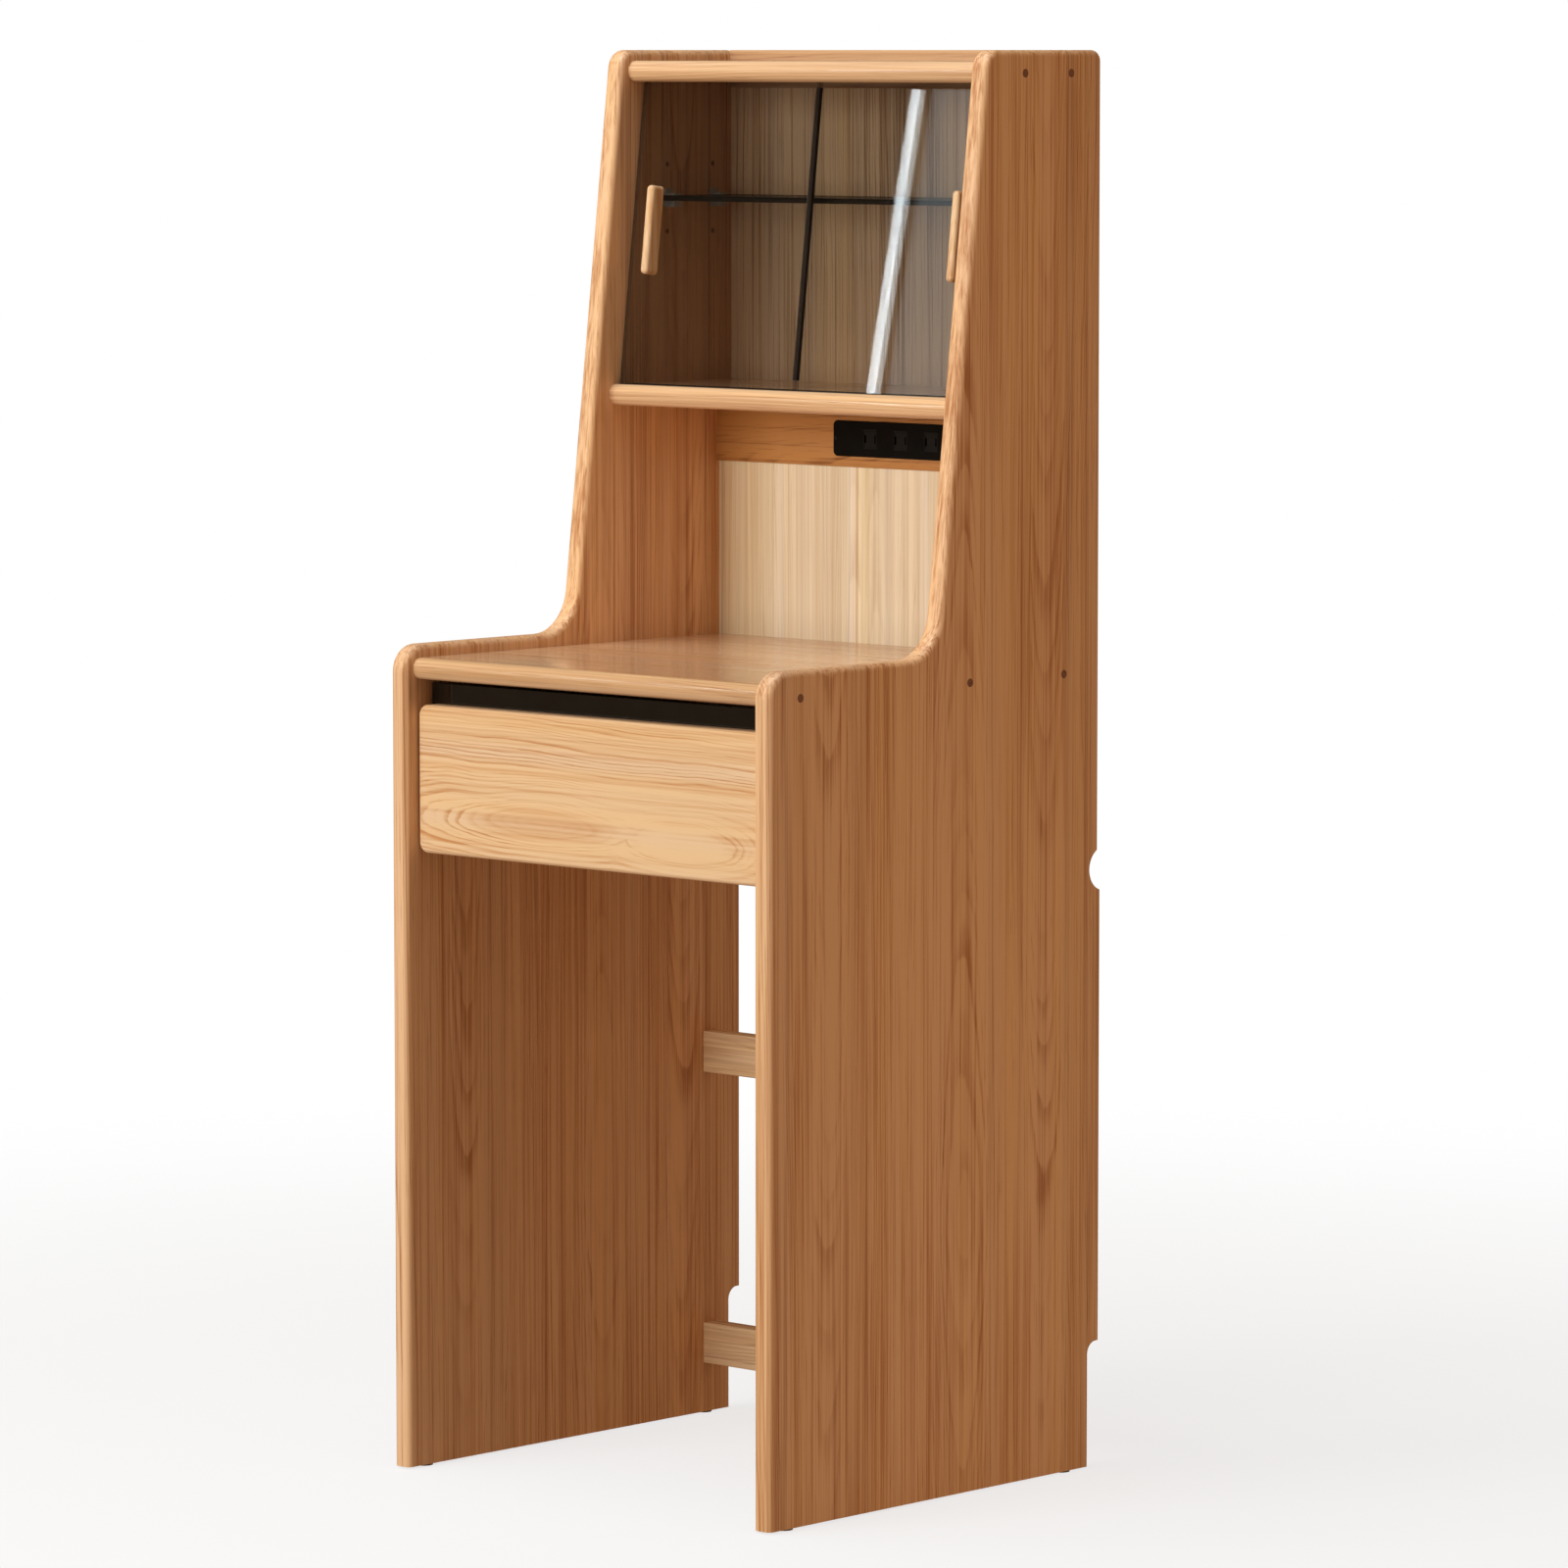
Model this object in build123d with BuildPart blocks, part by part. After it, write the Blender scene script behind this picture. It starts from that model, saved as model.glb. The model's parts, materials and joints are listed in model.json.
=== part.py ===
"""Narrow study carrel in oak: two full-height side panels, a worktop with one drawer, and a raked
hutch with two sliding smoked-glass doors, a glass shelf and a socket strip in its back rail.

Units are millimetres. X runs to the right as seen from the front, Y to the back, Z up.
The origin is on the floor, in the middle of the width and the depth.
"""

import os
from math import atan, cos, degrees, sin

from build123d import *

# ---------------------------------------------------------------- driving dimensions
WIDTH = 480.0
DEPTH = 450.0
HEIGHT = 1320.0
PANEL = 20.0  # side panels, worktop, shelf and top board
RAIL = 18.0  # rails, stretchers and the drawer front
BACK_SHEET = 6.0
GLASS = 5.0
FIT = 0.1  # gap around a piece that sits in a pocket or groove
GLIDE = 2.0  # height of the floor glides

INNER = WIDTH / 2 - PANEL  # inner face of a side panel
FRONT = -DEPTH / 2
BACK = DEPTH / 2

# side panel outline
WORKTOP_TOP = 760.0
SHOULDER = WORKTOP_TOP + 12.0
HUTCH_FOOT = FRONT + 224.0  # where the raked edge would meet the shoulder
HUTCH_TOP = FRONT + 290.0
RAKE = (HUTCH_TOP - HUTCH_FOOT) / (HEIGHT - SHOULDER)
RAKE_ANGLE = atan(RAKE)
SHOULDER_RADIUS = 25.0
CROOK_RADIUS = 45.0
TOP_RADIUS = 18.0
REAR_TOP_RADIUS = 10.0
EDGE_RADIUS = 6.0
SKIRTING_HEIGHT = 120.0
SKIRTING_DEPTH = 15.0
CABLE_NOTCH_RADIUS = 20.0
CABLE_NOTCH_Y = BACK + 5.5
CABLE_NOTCH_Z = 563.0

# boards, by their front edge and their upper face
WORKTOP_FRONT = FRONT + 10.0
WORKTOP_REAR = FRONT + 432.0
SHELF_FRONT = FRONT + 271.0
SHELF_TOP = 1005.0
TOP_FRONT = FRONT + 298.0
TOP_TOP = HEIGHT - 10.0
TOP_RAIL_FRONT = FRONT + 438.0
TOP_RAIL_FOOT = TOP_TOP - 26.0
BULLNOSE = PANEL / 2 - 0.6

# back sheets and rails
UPPER_SHEET_Y = FRONT + 440.0
LOWER_SHEET_Y = FRONT + 422.5
GROOVE = 4.0
SOCKET_RAIL_FRONT = FRONT + 419.0
SOCKET_RAIL_FOOT = 927.0
STRETCHER_FRONT = FRONT + 400.0
STRETCHER_HEIGHT = 40.0
STRETCHER_CENTRES = (70.0, 355.0)
APRON_FOOT = 625.0

# sliding doors, measured from the raked front edge of the side panels
DOOR_SETBACK = 31.0
DOOR_PITCH = 14.1
DOOR_WIDTH = 223.0
DOOR_SIDE_GAP = 2.0
DOOR_FOOT = SHELF_TOP - 3.0
DOOR_HEAD = TOP_TOP - PANEL + 6.6
HANDLE_LENGTH = 84.0
HANDLE_WIDTH = 9.0
HANDLE_DEPTH = 15.0
REAR_HANDLE_DEPTH = 8.0
SEAL_WIDTH = 5.0
SEAL_DEPTH = 4.0

# glass shelf and its clips
PIN_RADIUS = 2.5
PIN_DEPTH = 9.0
PIN_COLUMNS = (FRONT + 351.5, FRONT + 414.5)
PIN_PITCH = 32.0
PIN_CENTRE = 1180.0
GLASS_SHELF_FRONT = FRONT + 330.0
GLASS_SHELF_REAR = FRONT + 437.0

# drawer
DRAWER_FRONT = FRONT + 14.0
DRAWER_FOOT = 579.0
DRAWER_HEAD = 717.0
DRAWER_SIDE_GAP = 2.0
DRAWER_BACK = FRONT + 389.0
BOX_OUTER = INNER - 13.0
BOX_WALL = 12.0
BOX_FOOT = DRAWER_FOOT + 9.0
BOX_HEAD = BOX_FOOT + 100.0
UPSTAND_FOOT = 656.0
UPSTAND_HEAD = WORKTOP_TOP - PANEL - 4.0
SLIDE_Z = 640.0
SLIDE_FRONT = FRONT + 40.0
SLIDE_LENGTH = 350.0
STEEL = 1.2

# socket strip
STRIP_LEFT = -66.0
STRIP_RIGHT = 143.0
STRIP_Z = 954.0
STRIP_HEIGHT = 34.0
FLANGE = 2.0
STRIP_REAR = SOCKET_RAIL_FRONT + 29.0
GLAND_Y = STRIP_REAR - 5.4
OUTLET_PITCH = 38.5
OUTLET_SIZE = 18.0
OUTLETS = tuple(-19.4 + OUTLET_PITCH * i for i in range(3))
USB_X = 96.5
USB_Z = (STRIP_Z - 6.5, STRIP_Z + 6.5)

# ---------------------------------------------------------------- joinery, as (y, z) on a side panel
SCREWS = [(FRONT + y, TOP_TOP - 11.0) for y in (342.0, 406.0)] + [
    (FRONT + y, WORKTOP_TOP - 12.5) for y in (41.0, 268.0, 398.5)
]
STRETCHER_MID = STRETCHER_FRONT + RAIL / 2
SOCKET_RAIL_MID = SOCKET_RAIL_FRONT + RAIL / 2
TOP_RAIL_MID = (TOP_RAIL_FRONT + BACK) / 2
SHELF_MID = SHELF_TOP - PANEL / 2
SHELF_CAMS = [(FRONT + y, SHELF_MID) for y in (312.0, 404.0)]
REAR_CAMS = [(SOCKET_RAIL_MID, 956.0), (STRETCHER_MID, 700.0)] + [
    (STRETCHER_MID, z) for z in STRETCHER_CENTRES
]
DOWELS = (
    [(FRONT + 374.0, TOP_TOP - PANEL / 2), (FRONT + 358.0, SHELF_MID)]
    + [(FRONT + y, WORKTOP_TOP - PANEL / 2) for y in (154.0, 334.0)]
    + [(SOCKET_RAIL_MID, z) for z in (938.0, 974.0)]
    + [(TOP_RAIL_MID, z) for z in (1294.0, 1311.0)]
    + [(STRETCHER_MID, z) for z in (660.0, 725.0)]
    + [(STRETCHER_MID, z + step) for z in STRETCHER_CENTRES for step in (-13.0, 13.0)]
)
DOWEL_RADIUS = 3.0
DOWEL_IN_PANEL = 12.0
DOWEL_IN_BOARD = 20.0
CAM_RADIUS = 7.5
CAM_DEPTH = 12.5
CAM_INSET = 24.0  # from the end of the board to the middle of the cam
BOLT_RADIUS = 3.0
BOLT_IN_PANEL = 11.0
SCREW_RADIUS = 2.5
SCREW_HEAD_RADIUS = 4.0
SCREW_HEAD = 4.0
PLUG = 6.0
SCREW_IN_BOARD = 40.0
GLIDE_RADIUS = 8.0
GLIDE_POSTS = (FRONT + 30.0, FRONT + 410.0)
SLIDE_SCREWS = tuple(SLIDE_FRONT + y for y in (35.0, 175.0, 315.0))
SLIDE_SCREW_RADIUS = 1.7
SLIDE_SCREW_LENGTH = 9.0
SLIDE_HEAD = 0.7

ALONG_X = (0, 90, 0)
ALONG_Y = (90, 0, 0)
SIDES = {"left": -1, "right": 1}


def raked(z):
    """Y of the side panels' raked front edge at height z."""
    return HUTCH_TOP - RAKE * (HEIGHT - z)


def save(piece, name):
    """Labels a finished piece and writes it as parts/NAME.step."""
    piece.part.label = name
    export_step(piece.part, f"parts/{name}.step")


def slab(x0, x1, y0, y1, z0, z1, mode=Mode.ADD):
    """A box between two corners, in the part that is being built."""
    with Locations(((x0 + x1) / 2, (y0 + y1) / 2, (z0 + z1) / 2)):
        Box(abs(x1 - x0), y1 - y0, z1 - z0, mode=mode)


def peg(x0, x1, y, z, radius, mode=Mode.ADD):
    """A cylinder along X."""
    with Locations(((x0 + x1) / 2, y, z)):
        Cylinder(radius, abs(x1 - x0), rotation=ALONG_X, mode=mode)


def end_holes(holes, radius, depth):
    """Drills the same blind holes into both ends of the board that is being built."""
    for y, z in holes:
        for side in SIDES.values():
            peg(side * (INNER - depth), side * INNER, y, z, radius, Mode.SUBTRACT)


def bullnose(board):
    """Rounds the front edge of a board over its whole thickness."""
    fillet(board.edges().filter_by(Axis.X).group_by(Axis.Y)[0], BULLNOSE)


# ---------------------------------------------------------------- side panels
def side_panel(side):
    """One side panel, with its grooves for the back sheets and every hole of the joinery."""
    floor = GLIDE
    foot_rear = BACK - SKIRTING_DEPTH
    corners = [
        (FRONT, floor),
        (foot_rear, floor),
        (foot_rear, SKIRTING_HEIGHT),
        (BACK, SKIRTING_HEIGHT),
        (BACK, HEIGHT),
        (HUTCH_TOP, HEIGHT),
        (HUTCH_FOOT, SHOULDER),
        (FRONT, SHOULDER),
    ]
    rounded = {2: 12.0, 4: REAR_TOP_RADIUS, 5: TOP_RADIUS, 6: CROOK_RADIUS, 7: SHOULDER_RADIUS}
    with BuildPart() as panel:
        with BuildSketch(Plane.YZ.offset(side * INNER)) as outline:
            with BuildLine():
                Polyline(*corners, close=True)
            make_face()
            for index, radius in rounded.items():
                fillet(outline.vertices().sort_by_distance(corners[index])[0], radius)
            with Locations((CABLE_NOTCH_Y, CABLE_NOTCH_Z)):
                Circle(CABLE_NOTCH_RADIUS, mode=Mode.SUBTRACT)
        extrude(amount=side * PANEL)
        broad = panel.faces().filter_by(Axis.X)
        front_edges = [face.edges().group_by(Axis.Y)[0][0] for face in broad]
        fillet(front_edges, EDGE_RADIUS)

        sheets = (
            (UPPER_SHEET_Y, SHELF_TOP - GROOVE, TOP_RAIL_FOOT + GROOVE),
            (LOWER_SHEET_Y, WORKTOP_TOP - GROOVE, SOCKET_RAIL_FOOT + GROOVE),
        )
        for y, z0, z1 in sheets:
            slab(side * (INNER - 1), side * (INNER + GROOVE), y, y + BACK_SHEET, z0, z1, Mode.SUBTRACT)
        for y, z in SCREWS:
            peg(side * INNER, side * (INNER + PANEL), y, z, SCREW_RADIUS, Mode.SUBTRACT)
            outer = side * (INNER + PANEL)
            peg(outer, outer - side * (PLUG + SCREW_HEAD), y, z, SCREW_HEAD_RADIUS, Mode.SUBTRACT)
        for y, z in DOWELS:
            peg(side * INNER, side * (INNER + DOWEL_IN_PANEL), y, z, DOWEL_RADIUS, Mode.SUBTRACT)
        for y, z in SHELF_CAMS + REAR_CAMS:
            peg(side * INNER, side * (INNER + BOLT_IN_PANEL), y, z, SCREW_RADIUS, Mode.SUBTRACT)
        for y in PIN_COLUMNS:
            for row in (-1, 0, 1):
                z = PIN_CENTRE + row * PIN_PITCH
                peg(side * INNER, side * (INNER + PIN_DEPTH), y, z, PIN_RADIUS, Mode.SUBTRACT)
        for y in SLIDE_SCREWS:
            depth = SLIDE_SCREW_LENGTH
            peg(side * INNER, side * (INNER + depth), y, SLIDE_Z, SLIDE_SCREW_RADIUS, Mode.SUBTRACT)
        for y in GLIDE_POSTS:
            with Locations((side * (INNER + PANEL / 2), y, GLIDE + 6)):
                Cylinder(1.25, 12, mode=Mode.SUBTRACT)
    return panel


for name, side in SIDES.items():
    save(side_panel(side), f"side_panel_{name}")

# ---------------------------------------------------------------- boards
with BuildPart() as top_board:
    slab(-INNER, INNER, TOP_FRONT, TOP_RAIL_FRONT, TOP_TOP - PANEL, TOP_TOP)
    bullnose(top_board)
    head = raked(TOP_TOP - PANEL) + DOOR_SETBACK
    UPPER_TRACK = (head - 2.0, head + DOOR_PITCH + GLASS + 3.0)
    UPPER_TRACK_HEAD = TOP_TOP - PANEL + 12.5
    slab(-INNER, INNER, *UPPER_TRACK, TOP_TOP - PANEL, UPPER_TRACK_HEAD, Mode.SUBTRACT)
    end_holes([p for p in SCREWS if p[1] > SHELF_TOP], SCREW_RADIUS, SCREW_IN_BOARD)
    end_holes([p for p in DOWELS if p[1] == TOP_TOP - PANEL / 2], DOWEL_RADIUS, DOWEL_IN_BOARD)
save(top_board, "top_board")

with BuildPart() as middle_shelf:
    slab(-INNER, INNER, SHELF_FRONT, BACK, SHELF_TOP - PANEL, SHELF_TOP)
    bullnose(middle_shelf)
    foot = raked(SHELF_TOP) + DOOR_SETBACK
    LOWER_TRACK = (foot - 3.2, foot + DOOR_PITCH + GLASS + 3.2)
    LOWER_TRACK_FOOT = SHELF_TOP - 5.5
    slab(-INNER, INNER, *LOWER_TRACK, LOWER_TRACK_FOOT, SHELF_TOP, Mode.SUBTRACT)
    groove_y = (UPPER_SHEET_Y, UPPER_SHEET_Y + BACK_SHEET)
    slab(-INNER, INNER, *groove_y, SHELF_TOP - GROOVE, SHELF_TOP, Mode.SUBTRACT)
    end_holes([p for p in DOWELS if p[1] == SHELF_MID], DOWEL_RADIUS, DOWEL_IN_BOARD)
    end_holes(SHELF_CAMS, BOLT_RADIUS + FIT, CAM_INSET)
    for y, z in SHELF_CAMS:
        for side in SIDES.values():
            with Locations((side * (INNER - CAM_INSET), y, SHELF_TOP - PANEL + CAM_DEPTH / 2)):
                Cylinder(CAM_RADIUS, CAM_DEPTH, mode=Mode.SUBTRACT)
save(middle_shelf, "middle_shelf")

with BuildPart() as worktop:
    slab(-INNER, INNER, WORKTOP_FRONT, WORKTOP_REAR, WORKTOP_TOP - PANEL, WORKTOP_TOP)
    bullnose(worktop)
    groove_y = (LOWER_SHEET_Y, LOWER_SHEET_Y + BACK_SHEET)
    slab(-INNER, INNER, *groove_y, WORKTOP_TOP - GROOVE, WORKTOP_TOP, Mode.SUBTRACT)
    end_holes([p for p in SCREWS if p[1] < WORKTOP_TOP], SCREW_RADIUS, SCREW_IN_BOARD)
    end_holes([p for p in DOWELS if p[1] == WORKTOP_TOP - PANEL / 2], DOWEL_RADIUS, DOWEL_IN_BOARD)
save(worktop, "worktop")


# ---------------------------------------------------------------- back rails, stretchers and sheets
def rail(front, rear, foot, head, bottom_groove=None):
    """A rail between the side panels, drilled for its dowels and its rear cams.

    bottom_groove is the front Y of a groove for a back sheet in the rail's lower edge.
    """

    def in_this_rail(points):
        return [p for p in points if foot < p[1] < head and front < p[0] < rear]

    with BuildPart() as made:
        slab(-INNER, INNER, front, rear, foot, head)
        fillet(made.edges().filter_by(Axis.X).group_by(Axis.Y)[0], 1.5)
        if bottom_groove is not None:
            groove = (bottom_groove, bottom_groove + BACK_SHEET)
            slab(-INNER, INNER, *groove, foot, foot + GROOVE, Mode.SUBTRACT)
        end_holes(in_this_rail(DOWELS), DOWEL_RADIUS, DOWEL_IN_BOARD)
        end_holes(in_this_rail(REAR_CAMS), BOLT_RADIUS + FIT, CAM_INSET)
        for _, z in in_this_rail(REAR_CAMS):
            for side in SIDES.values():
                with Locations((side * (INNER - CAM_INSET), rear - CAM_DEPTH / 2, z)):
                    Cylinder(CAM_RADIUS, CAM_DEPTH, rotation=ALONG_Y, mode=Mode.SUBTRACT)
    return made


save(rail(TOP_RAIL_FRONT, BACK, TOP_RAIL_FOOT, HEIGHT, UPPER_SHEET_Y), "top_back_rail")
save(rail(STRETCHER_FRONT, STRETCHER_FRONT + RAIL, APRON_FOOT, WORKTOP_TOP - PANEL), "rear_apron")
for name, centre in zip(("lower", "upper"), STRETCHER_CENTRES):
    half = STRETCHER_HEIGHT / 2
    stretcher = rail(STRETCHER_FRONT, STRETCHER_FRONT + RAIL, centre - half, centre + half)
    save(stretcher, f"stretcher_{name}")

STRIP_INSET = 5.0  # how far the body behind the flange is inset from the flange's edge
BODY = (STRIP_LEFT + STRIP_INSET, STRIP_RIGHT - STRIP_INSET)
BODY_Z = (STRIP_Z - STRIP_HEIGHT / 2 + 4.5, STRIP_Z + STRIP_HEIGHT / 2 - 4.5)
STRIP_SCREWS = (STRIP_LEFT + 3.1, STRIP_RIGHT - 3.1)
STRIP_SCREW_SEAT = 1.2  # how far the heads are sunk in the flange
SOCKET_RAIL_REAR = SOCKET_RAIL_FRONT + RAIL
with BuildPart() as socket_rail:
    blank = rail(
        SOCKET_RAIL_FRONT, SOCKET_RAIL_REAR, SOCKET_RAIL_FOOT, SHELF_TOP - PANEL, LOWER_SHEET_Y
    )
    add(blank.part)
    opening = (BODY[0] - FIT, BODY[1] + FIT, SOCKET_RAIL_FRONT, SOCKET_RAIL_REAR)
    slab(*opening, BODY_Z[0] - FIT, BODY_Z[1] + FIT, Mode.SUBTRACT)
    with Locations([(x, SOCKET_RAIL_FRONT + 7, STRIP_Z) for x in STRIP_SCREWS]):
        Cylinder(1.0, 14, rotation=ALONG_Y, mode=Mode.SUBTRACT)
save(socket_rail, "socket_rail")

SHEET_EDGE = INNER + GROOVE - 0.5
with BuildPart() as upper_back_panel:
    front_y = UPPER_SHEET_Y + FIT
    rear_y = UPPER_SHEET_Y + BACK_SHEET - FIT
    heights = (SHELF_TOP - GROOVE + 0.3, TOP_RAIL_FOOT + GROOVE - 0.5)
    slab(-SHEET_EDGE, SHEET_EDGE, front_y, rear_y, *heights)
save(upper_back_panel, "upper_back_panel")

with BuildPart() as lower_back_panel:
    front_y = LOWER_SHEET_Y + FIT
    rear_y = LOWER_SHEET_Y + BACK_SHEET - FIT
    heights = (WORKTOP_TOP - GROOVE + 0.3, SOCKET_RAIL_FOOT + GROOVE - 0.5)
    slab(-SHEET_EDGE, SHEET_EDGE, front_y, rear_y, *heights)
save(lower_back_panel, "lower_back_panel")

# ---------------------------------------------------------------- carcass fasteners
SNUG = 0.03  # gap round a fastener in its hole, so that faces don't coincide

with BuildPart() as dowels:
    for side in SIDES.values():
        for y, z in DOWELS:
            ends = (side * (INNER - DOWEL_IN_BOARD + 0.5), side * (INNER + DOWEL_IN_PANEL - 0.5))
            peg(*ends, y, z, DOWEL_RADIUS - SNUG)
save(dowels, "dowels")

with BuildPart() as carcass_screws:
    for side in SIDES.values():
        for y, z in SCREWS:
            outer = side * (INNER + PANEL - PLUG - SNUG)
            under_head = side * (INNER + PANEL - PLUG - SCREW_HEAD)
            peg(outer, under_head, y, z, SCREW_HEAD_RADIUS - SNUG)
            peg(under_head, side * (INNER - SCREW_IN_BOARD + 1), y, z, SCREW_RADIUS - SNUG)
            with Locations((outer - side, y, z)):
                Box(2, 5.6, 1.2, mode=Mode.SUBTRACT)
                Box(2, 1.2, 5.6, mode=Mode.SUBTRACT)
save(carcass_screws, "carcass_screws")

with BuildPart() as screw_plugs:
    for side in SIDES.values():
        for y, z in SCREWS:
            outer = side * (INNER + PANEL)
            peg(outer, outer - side * PLUG, y, z, SCREW_HEAD_RADIUS - SNUG)
save(screw_plugs, "screw_plugs")

CAM_GAP = 0.15
with BuildPart() as cam_bolts:
    for side in SIDES.values():
        for y, z in SHELF_CAMS + REAR_CAMS:
            peg(side * INNER, side * (INNER + BOLT_IN_PANEL - 0.5), y, z, SCREW_RADIUS - SNUG)
            peg(side * INNER, side * (INNER - CAM_INSET + 4), y, z, BOLT_RADIUS - 0.6)
            head_end = side * (INNER - CAM_INSET)
            peg(head_end, head_end + side * 4, y, z, BOLT_RADIUS)
save(cam_bolts, "cam_bolts")


with BuildPart() as cam_locks:
    bolt_bore = BOLT_RADIUS + 0.4
    reach = CAM_DEPTH / 2
    for side in SIDES.values():
        x = side * (INNER - CAM_INSET)
        for y, z in SHELF_CAMS:
            middle = SHELF_TOP - PANEL + reach
            with Locations((x, y, middle)):
                Cylinder(CAM_RADIUS - CAM_GAP, CAM_DEPTH - CAM_GAP)
            peg(x - side * 2, x + side * CAM_RADIUS, y, z, bolt_bore, Mode.SUBTRACT)
            with Locations((x, y, middle - reach)):
                Box(8, 1.4, 3, mode=Mode.SUBTRACT)
                Box(1.4, 8, 3, mode=Mode.SUBTRACT)
        for y, z in REAR_CAMS:
            rear = y + RAIL / 2
            with Locations((x, rear - reach, z)):
                Cylinder(CAM_RADIUS - CAM_GAP, CAM_DEPTH - CAM_GAP, rotation=ALONG_Y)
            peg(x - side * 2, x + side * CAM_RADIUS, y, z, bolt_bore, Mode.SUBTRACT)
            with Locations((x, rear, z)):
                Box(8, 3, 1.4, mode=Mode.SUBTRACT)
                Box(1.4, 3, 8, mode=Mode.SUBTRACT)
save(cam_locks, "cam_locks")

with BuildPart() as floor_glides:
    for side in SIDES.values():
        for y in GLIDE_POSTS:
            with Locations((side * (INNER + PANEL / 2), y, GLIDE / 2)):
                Cylinder(GLIDE_RADIUS, GLIDE)
            with Locations((side * (INNER + PANEL / 2), y, GLIDE + 5.5)):
                Cylinder(1.25 - SNUG, 11)
save(floor_glides, "floor_glides")


# ---------------------------------------------------------------- sliding glass doors
def track(span, base, lips, pane_y, wide):
    """A twin-channel track along X. base is the web's outer face, lips the height of the open side."""
    with BuildPart() as made:
        slab(-INNER + FIT, INNER - FIT, span[0] + FIT, span[1] - FIT, min(base, lips), max(base, lips))
        web = 1.4 if lips > base else -1.4
        floor = base + web
        for y in pane_y:
            groove = (y - 0.7, y + wide)
            slab(-INNER, INNER, *groove, min(floor, lips), max(floor, lips), Mode.SUBTRACT)
    return made


door_y = [raked(SHELF_TOP) + DOOR_SETBACK + DOOR_PITCH * i for i in (0, 1)]
lower = track(LOWER_TRACK, LOWER_TRACK_FOOT + FIT, SHELF_TOP, door_y, GLASS + 0.9)
save(lower, "door_track_lower")
door_y = [raked(TOP_TOP - PANEL) + DOOR_SETBACK + DOOR_PITCH * i for i in (0, 1)]
upper = track(UPPER_TRACK, UPPER_TRACK_HEAD - FIT, TOP_TOP - PANEL, door_y, GLASS + 1.7)
save(upper, "door_track_upper")


def door_plane(setback, x):
    """A plane on a door's front face, with its origin on the door's lower edge and its Y up the rake."""
    origin = (x, raked(DOOR_FOOT) + DOOR_SETBACK + setback, DOOR_FOOT)
    return Plane(origin=origin, x_dir=(1, 0, 0), z_dir=(0, -cos(RAKE_ANGLE), sin(RAKE_ANGLE)))


PANE_LENGTH = (DOOR_HEAD - DOOR_FOOT) / cos(RAKE_ANGLE)
PANE_X = INNER - DOOR_SIDE_GAP - DOOR_WIDTH / 2
HANDLE_HEIGHT = (1150.0 - DOOR_FOOT) / cos(RAKE_ANGLE)


def door_glass(side, setback):
    with BuildPart() as pane:
        with BuildSketch(door_plane(setback, side * PANE_X)):
            with Locations((0, PANE_LENGTH / 2)):
                Rectangle(DOOR_WIDTH, PANE_LENGTH)
        extrude(amount=-GLASS)
        chamfer(pane.edges().filter_by(lambda e: e.length > GLASS * 2), 0.5)
    return pane


def door_handle(side, setback, centre, depth):
    with BuildPart() as handle:
        with BuildSketch(door_plane(setback, side * centre)):
            with Locations((0, HANDLE_HEIGHT)):
                RectangleRounded(HANDLE_WIDTH, HANDLE_LENGTH, 4.0)
        extrude(amount=depth)
        outward = Vector(0, -cos(RAKE_ANGLE), sin(RAKE_ANGLE))
        fillet(handle.faces().sort_by(Axis(origin=(0, 0, 0), direction=outward))[-1].edges(), 3.5)
    return handle


save(door_glass(-1, 0), "door_glass_left")
save(door_glass(1, DOOR_PITCH), "door_glass_right")
save(door_handle(-1, 0, 185.0, HANDLE_DEPTH), "door_handle_left")
save(door_handle(1, DOOR_PITCH, 182.0, REAR_HANDLE_DEPTH), "door_handle_right")

with BuildPart() as door_meeting_seal:
    with BuildSketch(door_plane(DOOR_PITCH, PANE_X - DOOR_WIDTH / 2)):
        with Locations((SEAL_WIDTH / 2 + 0.2, PANE_LENGTH / 2)):
            Rectangle(SEAL_WIDTH, PANE_LENGTH - 24)
    extrude(amount=SEAL_DEPTH)
save(door_meeting_seal, "door_meeting_seal")

# ---------------------------------------------------------------- glass shelf and clips
with BuildPart() as glass_shelf:
    edge = INNER - 3
    slab(-edge, edge, GLASS_SHELF_FRONT, GLASS_SHELF_REAR, PIN_CENTRE - GLASS / 2, PIN_CENTRE + GLASS / 2)
    chamfer(glass_shelf.edges(), 0.5)
save(glass_shelf, "glass_shelf")

CLIP_REACH = 14.0
CLIP_HEIGHT = 17.0
with BuildPart() as shelf_clips:
    for side in SIDES.values():
        for y in PIN_COLUMNS:
            wall = side * (INNER - FIT)
            tip = side * (INNER - CLIP_REACH)
            slab(wall, tip, y - 5, y + 5, PIN_CENTRE - CLIP_HEIGHT / 2, PIN_CENTRE + CLIP_HEIGHT / 2)
            jaw = GLASS / 2 + FIT
            slab(side * (INNER - 2.5), tip, y - 5, y + 5, PIN_CENTRE - jaw, PIN_CENTRE + jaw, Mode.SUBTRACT)
            hollow = (side * (INNER - 2.5), tip, y - 5, y + 5)
            slab(*hollow, PIN_CENTRE + jaw + 1.8, PIN_CENTRE + CLIP_HEIGHT / 2, Mode.SUBTRACT)
            peg(side * (INNER - 1), side * (INNER + PIN_DEPTH - 0.5), y, PIN_CENTRE, PIN_RADIUS - SNUG)
save(shelf_clips, "shelf_clips")

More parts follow.
